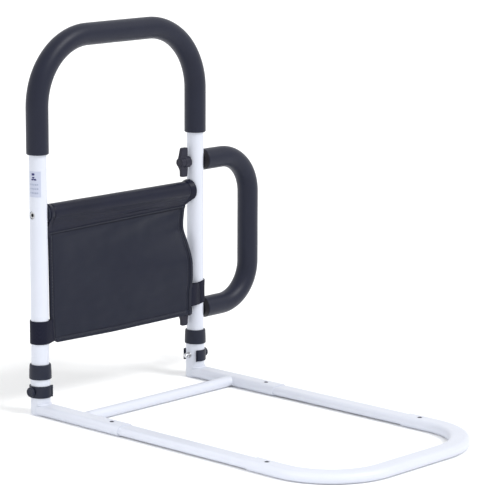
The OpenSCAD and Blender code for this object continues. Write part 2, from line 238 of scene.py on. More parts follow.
class Nodes:
    """A Principled material with short helpers for procedural detail in object space."""

    def __init__(self, name, color, rough, metal=0.0):
        self.mat = bpy.data.materials.new(name)
        self.mat.use_nodes = True
        self.tree = self.mat.node_tree
        self.bsdf = self.tree.nodes["Principled BSDF"]
        self.bsdf.inputs["Base Color"].default_value = (*color, 1)
        self.bsdf.inputs["Roughness"].default_value = rough
        self.bsdf.inputs["Metallic"].default_value = metal
        self.mat.diffuse_color = (*color, 1)
        self.coords = self.new("ShaderNodeTexCoord").outputs["Object"]
        self.height = None

    def new(self, kind, **settings):
        node = self.tree.nodes.new(kind)
        for key, value in settings.items():
            setattr(node, key, value)
        return node

    def link(self, a, b):
        self.tree.links.new(a, b)

    def stretch(self, scale):
        node = self.new("ShaderNodeMapping")
        node.inputs["Scale"].default_value = scale
        self.link(self.coords, node.inputs["Vector"])
        return node.outputs["Vector"]

    def noise(self, scale, detail=3.0, rough=0.5, vector=None):
        node = self.new("ShaderNodeTexNoise")
        node.inputs["Scale"].default_value = scale
        node.inputs["Detail"].default_value = detail
        node.inputs["Roughness"].default_value = rough
        self.link(vector or self.coords, node.inputs["Vector"])
        return node.outputs["Fac"]

    def cells(self, scale, vector=None):
        node = self.new("ShaderNodeTexVoronoi")
        node.inputs["Scale"].default_value = scale
        self.link(vector or self.coords, node.inputs["Vector"])
        return node.outputs["Distance"]

    def wave(self, direction, scale, distortion=0.0):
        node = self.new("ShaderNodeTexWave", bands_direction=direction, wave_profile="SIN")
        node.inputs["Scale"].default_value = scale
        node.inputs["Distortion"].default_value = distortion
        node.inputs["Detail"].default_value = 1.0
        node.inputs["Detail Scale"].default_value = 2.0
        self.link(self.coords, node.inputs["Vector"])
        return node.outputs["Fac"]

    def math(self, op, a, b):
        node = self.new("ShaderNodeMath", operation=op)
        for slot, value in zip(node.inputs, (a, b)):
            if isinstance(value, (int, float)):
                slot.default_value = value
            else:
                self.link(value, slot)
        return node.outputs[0]

    def ramp(self, fac, low, high):
        """Maps 0..1 onto low..high."""
        node = self.new("ShaderNodeMapRange")
        node.inputs["To Min"].default_value = low
        node.inputs["To Max"].default_value = high
        self.link(fac, node.inputs["Value"])
        return node.outputs["Result"]

    def mix(self, fac, a, b):
        node = self.new("ShaderNodeMix", data_type="RGBA")
        self.link(fac, node.inputs["Factor"])
        node.inputs["A"].default_value = (*a, 1)
        node.inputs["B"].default_value = (*b, 1)
        return node.outputs["Result"]

    def color(self, fac, a, b):
        self.link(self.mix(fac, a, b), self.bsdf.inputs["Base Color"])

    def rough(self, fac, low, high):
        self.link(self.ramp(fac, low, high), self.bsdf.inputs["Roughness"])

    def bump(self, height, distance, strength=1.0):
        node = self.new("ShaderNodeBump")
        node.inputs["Distance"].default_value = distance
        node.inputs["Strength"].default_value = strength
        self.link(height, node.inputs["Height"])
        if self.height is not None:
            self.link(self.height, node.inputs["Normal"])
        self.height = node.outputs["Normal"]
        self.link(self.height, self.bsdf.inputs["Normal"])

    def set(self, **values):
        for key, value in values.items():
            self.bsdf.inputs[key.replace("_", " ")].default_value = value


def powder_coat():
    m = Nodes("white_powder_coat", (0.60, 0.63, 0.71), 0.36)
    m.color(m.noise(18, 2), (0.555, 0.58, 0.655), (0.585, 0.61, 0.685))
    m.rough(m.noise(160, 3), 0.30, 0.44)
    m.bump(m.noise(620, 2, 0.4), 0.00012, 0.5)
    m.bump(m.noise(2600, 2, 0.5), 0.00003, 0.4)
    m.set(Coat_Weight=0.12, Coat_Roughness=0.25)
    return m.mat


def foam_skin():
    m = Nodes("foam_skin", (0.022, 0.025, 0.036), 0.6)
    blotch = m.noise(35, 4, 0.6)
    m.color(blotch, (0.005, 0.0065, 0.0185), (0.0085, 0.011, 0.026))
    m.rough(m.noise(240, 3, 0.6), 0.35, 0.49)
    m.bump(m.cells(1500), 0.00010, 0.55)
    m.bump(m.noise(420, 4, 0.6), 0.00016, 0.45)
    m.set(Sheen_Weight=0.10, Sheen_Roughness=0.3, Specular_IOR_Level=0.27)
    m.bsdf.inputs["Sheen Tint"].default_value = (0.75, 0.78, 0.95, 1)
    return m.mat


def pouch_cloth(name, low, high):
    m = Nodes(name, high, 0.45)
    m.color(m.noise(26, 3, 0.55), low, high)
    across = m.wave("X", 320.0, 0.15)
    down = m.wave("Z", 320.0, 0.15)
    m.bump(m.math("MULTIPLY", across, down), 0.00012, 0.55)
    m.bump(m.noise(70, 4, 0.6), 0.0004, 0.2)
    m.rough(m.noise(90, 4, 0.6), 0.32, 0.45)
    m.set(Sheen_Weight=0.03, Sheen_Roughness=0.4, Specular_IOR_Level=0.22)
    return m.mat


# Dark tape for the edge bindings and the pocket mouth; the same colour paints the shade in the seam and
# hem strips.
def edge_tape_and_shade():
    m = Nodes("edge_tape_and_shade", (0.004, 0.005, 0.012), 0.6)
    m.bump(m.wave("Z", 500.0, 0.2), 0.0001, 0.5)
    m.rough(m.noise(300, 2), 0.55, 0.72)
    m.set(Sheen_Weight=0.02, Specular_IOR_Level=0.12)
    return m.mat


def webbing():
    m = Nodes("webbing", (0.020, 0.020, 0.026), 0.7)
    rib = m.math("MULTIPLY", m.wave("Z", 260.0, 0.1), m.wave("DIAGONAL", 420.0, 0.3))
    m.color(rib, (0.003, 0.004, 0.014), (0.010, 0.011, 0.027))
    m.bump(rib, 0.0003, 0.8)
    m.bump(m.noise(900, 3, 0.6), 0.0001, 0.4)
    m.set(Sheen_Weight=0.03, Sheen_Roughness=0.5, Specular_IOR_Level=0.16)
    return m.mat


# Thread lighter than the cloth; along the seam it also paints the fold's highlight.
def thread():
    m = Nodes("stitch_thread", (0.030, 0.031, 0.040), 0.55)
    m.bump(m.wave("DIAGONAL", 1500.0, 0.0), 0.0001, 0.6)
    m.rough(m.noise(700, 2), 0.45, 0.65)
    return m.mat


def black_plastic():
    m = Nodes("black_plastic", (0.032, 0.035, 0.045), 0.45)
    m.color(m.noise(60, 3), (0.006, 0.008, 0.020), (0.010, 0.013, 0.028))
    m.rough(m.noise(500, 3, 0.6), 0.36, 0.52)
    m.bump(m.noise(1800, 3, 0.6), 0.00006, 0.5)
    m.set(Specular_IOR_Level=0.28)
    return m.mat


def knob_plastic():
    m = Nodes("knob_plastic", (0.026, 0.027, 0.036), 0.5)
    m.color(m.noise(120, 3), (0.008, 0.008, 0.019), (0.013, 0.013, 0.028))
    m.rough(m.noise(500, 3, 0.6), 0.36, 0.52)
    m.bump(m.cells(1600), 0.00008, 0.5)
    m.set(Specular_IOR_Level=0.30)
    return m.mat


# Near-black plastic: the handle caps' own black, darkened further as painted shade where they sit between
# leg and foam; it also fills the bar screw recesses as painted shade.
def cap_plastic_and_shade():
    m = Nodes("cap_plastic_and_shade", (0.003, 0.003, 0.006), 0.4)
    m.color(m.noise(80, 3), (0.002, 0.002, 0.005), (0.005, 0.005, 0.009))
    m.rough(m.noise(400, 3), 0.34, 0.48)
    m.bump(m.noise(1500, 2), 0.00005, 0.4)
    m.set(Specular_IOR_Level=0.12)
    return m.mat


def metal(name, color, low, high):
    m = Nodes(name, color, (low + high) / 2, 1.0)
    m.color(m.noise(90, 3), tuple(c * 0.9 for c in color), tuple(min(1, c * 1.08) for c in color))
    m.rough(m.noise(400, 4, 0.7, m.stretch((1, 8, 8))), low, high)
    m.bump(m.noise(1200, 3, 0.6, m.stretch((1, 6, 6))), 0.00003, 0.4)
    return m.mat


def label_film():
    m = Nodes("label_film", (0.50, 0.54, 0.66), 0.3)
    m.color(m.noise(60, 2), (0.41, 0.44, 0.55), (0.45, 0.48, 0.60))
    m.rough(m.noise(300, 2), 0.24, 0.36)
    m.bump(m.noise(500, 2), 0.00003, 0.3)
    m.set(Coat_Weight=0.3)
    return m.mat


def ink(name, color):
    m = Nodes(name, color, 0.4)
    m.color(m.noise(700, 2), tuple(c * 0.9 for c in color), color)
    m.rough(m.noise(600, 2), 0.34, 0.46)
    return m.mat


COAT = powder_coat()
FOAM = foam_skin()
CLOTH = pouch_cloth("pouch_cloth", (0.004, 0.006, 0.017), (0.008, 0.010, 0.022))
# The sleeve uses the same cloth painted darker: painted shade on the roll and on the web under it.
SHADED_ROLL_CLOTH = pouch_cloth("sleeve_cloth_shaded", (0.0015, 0.0025, 0.012), (0.0035, 0.005, 0.019))
TAPE_AND_SHADE = edge_tape_and_shade()
WEB = webbing()
THREAD = thread()
PLASTIC = black_plastic()
KNOB = knob_plastic()
CAP_AND_SHADE = cap_plastic_and_shade()
CHROME = metal("bright_plate", (0.66, 0.67, 0.70), 0.16, 0.30)
STEEL = metal("drawn_steel", (0.50, 0.51, 0.53), 0.30, 0.45)
BLACKENED = metal("black_zinc", (0.07, 0.07, 0.09), 0.35, 0.5)
BRASS = metal("turned_brass", (0.62, 0.46, 0.20), 0.25, 0.40)
LABEL = label_film()
BLUE_INK = ink("blue_ink", (0.008, 0.008, 0.11))
GREY_INK = ink("grey_ink", (0.30, 0.34, 0.46))


# ---- grips --------------------------------------------------------------------------------------


# radius of a grip's rounded ends, points round it, its unevenness, and how far it is drawn in for that
FOAM_EDGE = 1.6
FOAM_SEGS = 56
FOAM_SWELL = 0.14
FOAM_SINK = 0.12


def distances(pts):
    """The distance along a line of points to each of them."""
    run = [0.0]
    for a, b in zip(pts, pts[1:]):
        run.append(run[-1] + (b - a).length)
    return run


def end_steps(path, steps=6):
    """Adds close points at both ends, so that a rounded end has enough rings."""

    def dense(a, b):
        a, b = Vector(a), Vector(b)
        t = (b - a).normalized()
        return [tuple(a + t * FOAM_EDGE * (i / steps) ** 1.6) for i in range(steps + 1)]

    head = dense(path[0], path[1])
    tail = dense(path[-1], path[-2])[::-1]
    return head + list(path[1:-1]) + tail


def close_ends(ob, rings, bore):
    """Adds a flat ring of faces at both ends of a foam skin, down to the bore."""
    bm = bmesh.new()
    bm.from_mesh(ob.data)
    bm.verts.ensure_lookup_table()
    for first in (0, (rings - 1) * FOAM_SEGS):
        rim = [bm.verts[first + j] for j in range(FOAM_SEGS)]
        mid = sum((v.co for v in rim), Vector()) / FOAM_SEGS
        inner = [bm.verts.new(mid + (v.co - mid).normalized() * bore * MM) for v in rim]
        for j in range(FOAM_SEGS):
            k = (j + 1) % FOAM_SEGS
            bm.faces.new((rim[j], rim[k], inner[k], inner[j]))
        bm.verts.ensure_lookup_table()
    bmesh.ops.recalc_face_normals(bm, faces=bm.faces)
    for f in bm.faces:
        f.smooth = True
    bm.to_mesh(ob.data)
    bm.free()


def foam_tube(name, path, r, bore, node):
    """A foam grip: a thick sleeve with rounded ends, slightly uneven as pulled-on foam is."""
    path = end_steps(path)
    pts = [Vector(p) for p in path]
    run = distances(pts)

    def section(i):
        inset = max(0.0, FOAM_EDGE - min(run[i], run[-1] - run[i]))
        pull = FOAM_EDGE - math.sqrt(max(0.0, FOAM_EDGE**2 - inset**2))
        ring = []
        for j in range(FOAM_SEGS):
            a = TAU * j / FOAM_SEGS
            q = pts[i] * 0.03 + Vector((math.cos(a), math.sin(a), 0)) * 0.9
            rr = r - pull - FOAM_SINK + FOAM_SWELL * noise.noise(q)
            ring.append((rr * math.cos(a), rr * math.sin(a)))
        return ring

    ob = open_sweep(name, path, section)
    close_ends(ob, len(pts), bore)
    finish_piece(ob, "hoop", FOAM, [node])


def hoop_path():
    """The hoop grip's middle line, from the left end over the top to the right end."""
    side = HOOP_TOP - HOOP_BEND
    x = LEG - HOOP_BEND
    return join_paths(
        line((-LEG, 0, FOAM_END), (-LEG, 0, side)),
        arc((-x, side), HOOP_BEND, 180, 90),
        line((-x, 0, HOOP_TOP), (x, 0, HOOP_TOP)),
        arc((x, side), HOOP_BEND, 90, 0),
        line((LEG, 0, side), (LEG, 0, FOAM_END)),
    )


def handle_path():
    """The side grip's middle line, from its upper end round to its lower end."""
    x0, x1 = LEG + HANDLE_IN, LEG + HANDLE_OUT
    b = HANDLE_BEND
    return join_paths(
        line((x0, 0, HANDLE_TOP), (x1 - b, 0, HANDLE_TOP)),
        arc((x1 - b, HANDLE_TOP - b), b, 90, 0),
        line((x1, 0, HANDLE_TOP - b), (x1, 0, HANDLE_LOW + b)),
        arc((x1 - b, HANDLE_LOW + b), b, 0, -90),
        line((x1 - b, 0, HANDLE_LOW), (x0, 0, HANDLE_LOW)),
    )


foam_tube("hoop_grip", hoop_path(), FOAM_R, LEG_R + 0.1, "hoop_foam")
foam_tube("side_grip", handle_path(), HANDLE_R, HANDLE_TUBE_R + 0.1, "side_handle_foam")


# ---- collars, clips, knobs ----------------------------------------------------------------------


def rounded(points, radius=0.5, steps=4):
    """Rounds the corners of an open profile of (r, h) points."""
    out = [points[0]]
    for a, b, c in zip(points, points[1:], points[2:]):
        a, b, c = Vector(a), Vector(b), Vector(c)
        k = min(radius, (b - a).length * 0.45, (c - b).length * 0.45)
        p, q = b + (a - b).normalized() * k, b + (c - b).normalized() * k
        for i in range(steps + 1):
            t = i / steps
            out.append(tuple(p * (1 - t) ** 2 + b * 2 * t * (1 - t) + q * t * t))
    out.append(points[-1])
    return out


def curve(points, steps=10):
    """A smooth line through the points."""
    pts = [Vector(p) for p in points]
    out = []
    for i in range(len(pts) - 1):
        p0, p1, p2, p3 = pts[max(i - 1, 0)], pts[i], pts[i + 1], pts[min(i + 2, len(pts) - 1)]
        for k in range(steps):
            t = k / steps
            out.append(
                0.5 * ((2 * p1) + (p2 - p0) * t + (2 * p0 - 5 * p1 + 4 * p2 - p3) * t**2
                       + (3 * p1 - p0 - 3 * p2 + p3) * t**3)
            )
    return out + [pts[-1]]


def rounded_rect(w, h, r, steps=4):
    """Ring of points of a w by h rectangle with round corners."""
    r = min(r, w / 2 * 0.98, h / 2 * 0.98)
    ring = []
    for cx, cy, a0 in (
        (w / 2 - r, h / 2 - r, 0),
        (-w / 2 + r, h / 2 - r, 90),
        (-w / 2 + r, -h / 2 + r, 180),
        (w / 2 - r, -h / 2 + r, 270),
    ):
        for i in range(steps + 1):
            a = math.radians(a0 + 90 * i / steps)
            ring.append((cx + r * math.cos(a), cy + r * math.sin(a)))
    return ring


UP = Vector((0, 0, 1))
ACROSS = Vector((1, 0, 0))


def band_sweep(name, path, rings, up=UP):
    """Sweeps a ring of points, or one ring for each point of the path; a ring's points are
    (distance along up, distance across the path)."""
    pts = [Vector(p) for p in path]
    n = len(pts)
    if not isinstance(rings[0][0], tuple):
        rings = [rings] * n
    cols = len(rings[0])
    verts = []
    for i, (p, ring) in enumerate(zip(pts, rings)):
        t = (pts[min(i + 1, n - 1)] - pts[max(i - 1, 0)]).normalized()
        w = (up - t * up.dot(t)).normalized()
        v = t.cross(w)
        verts += [tuple(p + w * a + v * b) for a, b in ring]
    faces = grid_faces(n, cols, True)
    faces.append(tuple(range(cols))[::-1])
    faces.append(tuple(range(len(verts) - cols, len(verts))))
    return recalc(make(name, verts, faces))


def collar(side):
    """A tapered bush: its skirt is round the socket and its lip is round the leg."""
    node = side_name(side) + "_collar"
    z0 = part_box(node)[0].z / MM
    h = size(node).z / MM
    prof = [
        (14.1, 0.6),
        (14.3, 0.0),
        (15.9, 0.0),
        (15.75, h * 0.5),
        (15.3, h - 2.6),
        (14.9, h - 0.6),
        (13.6, h),
        (LEG_R + 0.12, h - 0.3),
        (LEG_R + 0.12, h - 4),
    ]
    ob = lathe(node + "_bush", rounded(prof, 0.7), (side * LEG, 0, z0), segs=72)
    finish_piece(recalc(ob), "base", PLASTIC, [node])


def clip_band(side):
    """An open spring band with rounded edges, both ends turned out into short lips."""
    node = side_name(side) + "_clip_band"
    h = size(node).z / MM
    z = centre(node).z / MM
    mid = 180.0 if side < 0 else 0.0
    reach, band_r, steps = 129.0, SOCKET_R + 1.0, 56
    lip = [(reach, 17.4), (reach + 0.3, 16.6), (reach, 15.8), (reach - 1.4, 15.3), (reach - 3.5, 15.05)]
    turn = [((reach - 4) * (1 - 2 * i / steps), band_r) for i in range(steps + 1)]
    path = []
    for degrees, r in lip + turn + [(-t, r) for t, r in lip[::-1]]:
        a = math.radians(mid + degrees)
        path.append((side * LEG + r * math.cos(a), r * math.sin(a), z))
    ob = band_sweep(node + "_spring", path, rounded_rect(h, 1.8, 0.8))
    finish_piece(ob, "base", PLASTIC, [node])


def pin_lathe(name, side, profile, segs):
    """A piece turned about a locking pin's axis; profile is (radius, distance out from the leg)."""
    foot = (side * LEG, 0, PIN_Z)
    return recalc(lathe(name, [(r, side * h) for r, h in profile], foot, "X", segs))


def clip_head(side):
    """Round moulded head with a raised rim, the plated pin it carries and the eyelet it enters."""
    name = side_name(side)
    node = name + "_clip_pin"
    lo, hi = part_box(node)
    out = (LEFT.x - lo.x if side < 0 else hi.x - RIGHT.x) / MM
    tip = (hi.x - LEFT.x if side < 0 else RIGHT.x - lo.x) / MM
    pin_r, ball_r = 3.5, 2.6
    head = [
        (0.01, out - 0.9),
        (3.9, out - 0.9),
        (4.6, out - 0.1),
        (6.2, out),
        (7.0, out - 0.9),
        (7.0, out - 3.6),
        (6.2, out - 4.5),
        (pin_r, out - 4.5),
    ]
    ob = pin_lathe(name + "_clip_head", side, rounded(head, 0.5), 48)
    finish_piece(ob, name + "_pin", PLASTIC, [node])
    shank = [(pin_r, out - 4.6), (pin_r, 6.4 - tip), (2.7, 5.6 - tip), (2.7, 5.0 - tip)]
    turns = np.linspace(0.9, math.pi, 9)
    ball = [(3.45 * math.sin(a), ball_r - tip + ball_r * math.cos(a)) for a in turns]
    ball[-1] = (0.01, -tip)
    ob = pin_lathe(name + "_clip_shank", side, rounded(shank, 0.3) + ball, 36)
    finish_piece(ob, name + "_pin", CHROME, [node])
    eyelet = [(3.7, -12.6), (3.7, -14.5), (4.7, -14.5), (4.9, -12.6)]
    ob = pin_lathe(name + "_pin_eyelet", side, rounded(eyelet, 0.4), 36)
    finish_piece(ob, "base", STEEL)


def wing_outline(half):
    """Side view of the two wings, as (x from the leg's axis, height) points."""
    upper = [
        (-33.2, 6.5),
        (-31.6, 13.0),
        (-29.6, half - 1.2),
        (-28.4, half),
        (-19.2, half),
        (-18.0, half - 1.0),
        (-17.9, 7.0),
    ]
    lower = [
        (-17.7, -7.0),
        (-18.6, -half + 1.6),
        (-19.8, -half),
        (-28.6, -half),
        (-29.9, -half + 1.2),
        (-30.4, -12.0),
        (-33.2, -6.5),
    ]
    return upper + lower


def add_drum(bm, x0, x1, r0, r1):
    """A closed tapered drum about the X axis, added to a mesh being built."""
    place = Matrix.Translation(((x0 + x1) / 2, 0, 0)) @ Matrix.Rotation(math.pi / 2, 4, "Y")
    bmesh.ops.create_cone(
        bm, cap_ends=True, segments=48, radius1=r0, radius2=r1, depth=x1 - x0, matrix=place
    )


def add_wings(bm, half):
    """Both wings as one plate, a little thinner at the tips."""
    ring = wing_outline(half)
    depth = [2.95 if abs(h) < 12 else 2.7 for x, h in ring]
    front = [bm.verts.new((x, -d, h)) for (x, h), d in zip(ring, depth)]
    back = [bm.verts.new((x, d, h)) for (x, h), d in zip(ring, depth)]
    bm.faces.new(front)
    bm.faces.new(back[::-1])
    for i in range(len(ring)):
        k = (i + 1) % len(ring)
        bm.faces.new((front[i], back[i], back[k], front[k]))


def wing_knob(which):
    """A moulded wing knob: hub, boss and two wings melted into one form with crisp round edges."""
    node = which + "_knob"
    z = centre(node).z / MM
    bm = bmesh.new()
    add_drum(bm, -33.1, -24.0, 6.9, 7.1)
    add_drum(bm, -25.2, -14.2, 8.1, 8.3)
    add_wings(bm, size(node).z / MM / 2 - 0.05)
    bmesh.ops.recalc_face_normals(bm, faces=bm.faces)
    for v in bm.verts:
        v.co = at(LEG + v.co.x, v.co.y, z + v.co.z)
    mesh = bpy.data.meshes.new(node + "_body")
    bm.to_mesh(mesh)
    bm.free()
    ob = bpy.data.objects.new(node + "_body", mesh)
    bpy.context.scene.collection.objects.link(ob)
    melt = ob.modifiers.new("melt", "REMESH")
    melt.mode = "VOXEL"
    melt.voxel_size = 0.42 * MM
    ob.modifiers.new("soften", "SMOOTH").iterations = 3
    apply_all(ob)
    for p in ob.data.polygons:
        p.use_smooth = True
    finish_piece(ob, node, KNOB, [node])
    knob_disc(node, z)


def knob_disc(node, z):
    """The shallow rings moulded into the knob's end."""
    rings = [(0.01, -31.8), (1.3, -31.8), (1.5, -33.3), (3.9, -33.3), (4.2, -32.8), (4.6, -33.4)]
    profile = rounded(rings + [(5.6, -33.2)], 0.3)
    disc = lathe(node + "_disc", profile, (LEG, 0, z), "X", 32)
    finish_piece(recalc(disc), node, KNOB)


for side in (-1, 1):
    collar(side)
    clip_band(side)
    clip_head(side)
for which in ("upper", "lower"):
    wing_knob(which)


# the length that the leaf's outline is drawn at
LEAF_LENGTH = 18.2


def leaf_spring(place):
    """The folded leaf under a snap button, drawn at rest; on the real part it flattens as the button is
    pressed.
    """
    node = "spring_" + place
    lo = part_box(node)[0]
    x, y, z = (lo - ORIGIN) / MM
    wide, long, high = size(node) / MM
    path = [(0.4, 0.25), (14.5, 0.25), (16.6, 0.35), (17.7, 0.75), (17.9, 1.25), (17.3, 1.9)]
    path += [(12.0, 5.3), (8.2, high - 0.55), (6.8, high - 0.27), (0.0, high - 0.25)]
    pts = [(x + wide / 2, y + a * long / LEAF_LENGTH, z + b) for a, b in path]
    ob = band_sweep(node + "_leaf", curve(pts, 5), rounded_rect(wide, 0.45, 0.15, 2), ACROSS)
    finish_piece(ob, "base", STEEL, [node])
    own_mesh(ob)


for place in ("rear_left", "rear_right", "front_left", "front_right"):
    leaf_spring(place)


# ---- welds --------------------------------------------------------------------------------------

# the stub is a flat-oval tube, OVAL_H high and OVAL_W wide, and the rail fits inside its wall
OVAL_H = size("left_stub").z / MM
OVAL_W = size("left_stub").x / MM
OVAL_R = size("left_rail").z / 2 / MM + 1.3
CROSS_Y = (centre("cross_tube").y - ORIGIN.y) / MM
CROSS_R = size("cross_tube").z / 2 / MM


def cross_weld(side):
    """The fillet that blends the cross tube into the flat-oval tube beside it."""
    segs, rows, weld = 48, 7, 5.5
    mid = side * (LEG - OVAL_H / 2)
    near = side * (LEG - OVAL_W / 2 - weld)
    verts = []
    for i in range(rows):
        t = i / (rows - 1)
        for j in range(segs):
            a = TAU * j / segs
            c, s = math.cos(a), math.sin(a)
            swell = 1.0 + 0.30 * t * t
            y = CROSS_Y + CROSS_R * c * swell + 0.12 * math.sin(5 * a + 9 * t) * t
            z = CROSS_R + (CROSS_R + 0.12 - 1.0 * t) * s
            z = min(max(z, 0.25), OVAL_H - 0.25)
            side_x = mid - side * (math.sqrt(max(0.0, OVAL_R**2 - (z - OVAL_R) ** 2)) - 0.6)
            verts.append((near + (side_x - near) * t**0.7, y, z))
    ob = make(side_name(side) + "_cross_weld", verts, grid_faces(rows, segs, True))
    finish_piece(recalc(ob), "base", COAT)


def socket_weld(side):
    """The bead where the flat-oval tube's top meets the socket."""
    r, bead_r, steps, segs = SOCKET_R + 0.2, 1.5, 40, 14
    path = []
    for i in range(steps + 1):
        a = math.radians(-150 + 120 * i / steps)
        wobble = 0.12 * math.sin(i * 1.9)
        path.append((side * LEG + r * math.cos(a), r * math.sin(a), OVAL_H + 0.1 + wobble))
    turns = [TAU * k / segs for k in range(segs)]
    ring = [(bead_r * math.cos(a), bead_r * math.sin(a)) for a in turns]
    ob = band_sweep(side_name(side) + "_socket_weld", path, ring)
    finish_piece(ob, "base", COAT)


for side in (-1, 1):
    cross_weld(side)
    socket_weld(side)


# ---- pouch --------------------------------------------------------------------------------------

SHEET_T = 1.3
# lengths along the panel and the sleeve, for spacing points and turning millimetres into shares
PANEL_W, PANEL_H, SLEEVE_W = 265, 157, 284
# heights of the seam's ends, and places of the seam's and the sleeve's ends across the hoop
SEAM_L, SEAM_R = 256.0, 262.0
SEAM_START, SEAM_END = -141.4, 130.6
SLEEVE_L, SLEEVE_R = -142.4, 141.4
HEM = 8.0
# the panel's side edges, from the seam down: height, distance across, distance from the hoop plane
RIGHT_EDGE = (
    (262, 130.5, -2.2),
    (240, 127.5, -2.0),
    (230, 127.0, -2.6),
    (224, 126.5, -5.0),
    (219, 126.0, -8.3),
    (208, 125.3, -14.5),
    (197, 124.6, -20.0),
    (188, 124.2, -23.6),
    (180, 124.0, -25.0),
    (160, 124.0, -25.4),
    (148, 123.2, -24.8),
    (140, 122.4, -23.4),
    (114, 122.0, -23.2),
    (107, 123.4, -24.6),
    (99, 122.8, -24.2),
)
LEFT_EDGE = (
    (258, -141.8, -3.0),
    (200, -142.0, -4.0),
    (140, -142.2, -4.8),
    (124, -142.0, -6.3),
    (98, -141.0, -7.0),
)


def smooth_step(t):
    """Rises smoothly from 0 to 1 as t does."""
    t = max(0.0, min(1.0, t))
    return t * t * (3 - 2 * t)


def edge_at(table, z, column):
    """A column of an edge table at height z, softened over a few millimetres."""
    zs = [row[0] for row in table][::-1]
    vs = [row[column] for row in table][::-1]
    return float(np.mean(np.interp([z - 3, z - 1.5, z, z + 1.5, z + 3], zs, vs)))


def hem_fold(d, width=HEM):
    """Height of a turned and stitched hem at distance d from the edge."""
    return 0.75 * (1 - smooth_step((d - width + 2) / 2)) - 0.8 * math.exp(-(((d - width) / 0.9) ** 2))


def seam_z(u):
    """Height of the seam between sleeve and panel; u runs from left to right."""
    return SEAM_L + (SEAM_R - SEAM_L) * u


def seam_y(u):
    """The seam's distance from the hoop plane."""
    return -1.6 - 0.8 * u


def hem_z(u):
    """Height of the panel's bottom hem, which sags a little in the middle."""
    return 99.6 + 4.4 * u - 1.6 * math.sin(math.pi * u)


def panel_point(u, v):
    """u runs from the left edge to the right, v from the seam down to the hem."""
    top, low = seam_z(u) + 1.0, hem_z(u)
    z = top + (low - top) * v
    xl, xr = edge_at(LEFT_EDGE, z, 1), edge_at(RIGHT_EDGE, z, 1)
    yl, yr = edge_at(LEFT_EDGE, z, 2), edge_at(RIGHT_EDGE, z, 2)
    x = xl + (xr - xl) * u
    y = yl + (yr - yl) * (0.75 * u + 0.25 * u * u)
    drop = top - z
    # distances from the left edge, the right edge and the bottom
    dl, dr, db = x - xl, xr - x, z - low
    y = seam_y(u) + (y - seam_y(u)) * smooth_step(drop / 9.0)
    # broad unevenness away from the edges, and slanting folds that fade below the seam
    middle = smooth_step(min(dl, dr) / 20.0) * smooth_step(drop / 12.0)
    q = Vector((x * 0.013, z * 0.020, 1.7))
    y += middle * (2.0 * noise.noise(q) + 0.5 * noise.noise(q * 3.7))
    fold = math.exp(-drop / 26.0) * smooth_step(u * 1.2 - 0.1)
    y += middle * fold * 1.6 * math.sin(0.055 * x + 0.20 * drop + 1.0)
    y -= hem_fold(dr) + hem_fold(dl) + hem_fold(db, 7.0) * smooth_step(min(dl, dr) / 6.0)
    corner = max(0.0, 14.0 - dl) / 14.0 * max(0.0, 9.0 - db) / 9.0
    return (x + 4.0 * corner, y, z + 6.0 * corner * corner)


# each gathered ridge: its share of the way to the seam, its slope and its height
SLEEVE_RIDGES = ((0.80, -0.28, 1.3), (0.55, -0.10, 1.2), (0.32, 0.12, 0.9))


def sleeve_radius(to_left, to_right):
    """The cloth's radius round the bar: flared at both ends, with a groove inside each hem."""
    r = BAR_R + 0.9 + 2.7 * smooth_step((9.5 - to_right) / 9.0) + 1.2 * smooth_step((7.0 - to_left) / 6.0)
    r -= 0.7 * math.exp(-(((to_right - HEM - 1.2) / 1.0) ** 2))
    r -= 0.7 * math.exp(-(((to_left - HEM) / 1.0) ** 2))
    return r


def sleeve_bulge(x, t, to_right):
    """The sleeve front's offset from a straight line between bar and seam, with its ridges."""
    loose = math.sin(math.pi * t)
    bulge = loose * 1.8
    for place, slope, high in SLEEVE_RIDGES:
        ridge = place + slope * to_right / 100
        bulge -= high * math.exp(-(((t - ridge) / 0.09) ** 2)) * math.exp(-to_right / 150)
    return bulge - 0.6 * loose * noise.noise(Vector((x * 0.02, t * 1.5, 4.4)))


def sleeve_section(x, w, seam, foot_y):
    """Point (y, z from the bar's axis) of the cloth's loop round the bar, w from seam back to seam."""
    to_right, to_left = SLEEVE_R - x, x - SLEEVE_L
    r = sleeve_radius(to_left, to_right)
    drop = BAR_Z - seam
    lean = math.acos(min(0.98, r / drop))
    tail = math.sqrt(drop * drop - r * r)
    length = (TAU - 2 * lean) * r + 2 * tail
    s = w * length
    if tail <= s <= length - tail:
        a = -math.pi / 2 + lean + (s - tail) / r
        rr = r + 0.22 * noise.noise(Vector((x * 0.03, a * 2, 2.2)))
        y, z = math.cos(a) * rr, math.sin(a) * rr
    else:
        front = s > tail
        t = (length - s if front else s) / tail
        a = -math.pi / 2 - lean if front else -math.pi / 2 + lean
        y = math.cos(a) * r * t
        z = -drop + (math.sin(a) * r + drop) * t
        y += sleeve_bulge(x, t, to_right) if front else -math.sin(math.pi * t)
    y += foot_y * smooth_step(-z / drop)
    return y, z


def sleeve_point(u, w):
    """w runs from the seam's back, over the bar and down its front to the seam."""
    near = min(w, 1 - w)
    tuck = 1 - smooth_step(near / 0.17)
    front = max(0.0, math.sin(math.pi * (w - 0.5) * 1.6)) if w > 0.5 else 0.0
    xl = SLEEVE_L + 1.2 * tuck
    xr = SLEEVE_R - 10.4 * tuck + 3.0 * front * (1 - tuck)
    x = xl + (xr - xl) * u
    flat_x = SLEEVE_L + (SLEEVE_R - SLEEVE_L) * u
    y, z = sleeve_section(flat_x, w, seam_z(u), seam_y(u))
    return (x, y, BAR_Z + z)


def shares(count, low=0.0, high=1.0):
    """Evenly spaced numbers from low to high, in count steps."""
    return [low + (high - low) * i / count for i in range(count + 1)]


def spread(length, edge=11.0, fine=0.7, coarse=2.6):
    """Shares 0..1 of a length, close together at both ends."""
    head = list(np.arange(0, edge, fine))
    middle = list(np.linspace(edge, length - edge, max(2, int((length - 2 * edge) / coarse))))
    tail = [length - d for d in head[::-1]]
    return [float(d) / length for d in head + middle + tail]


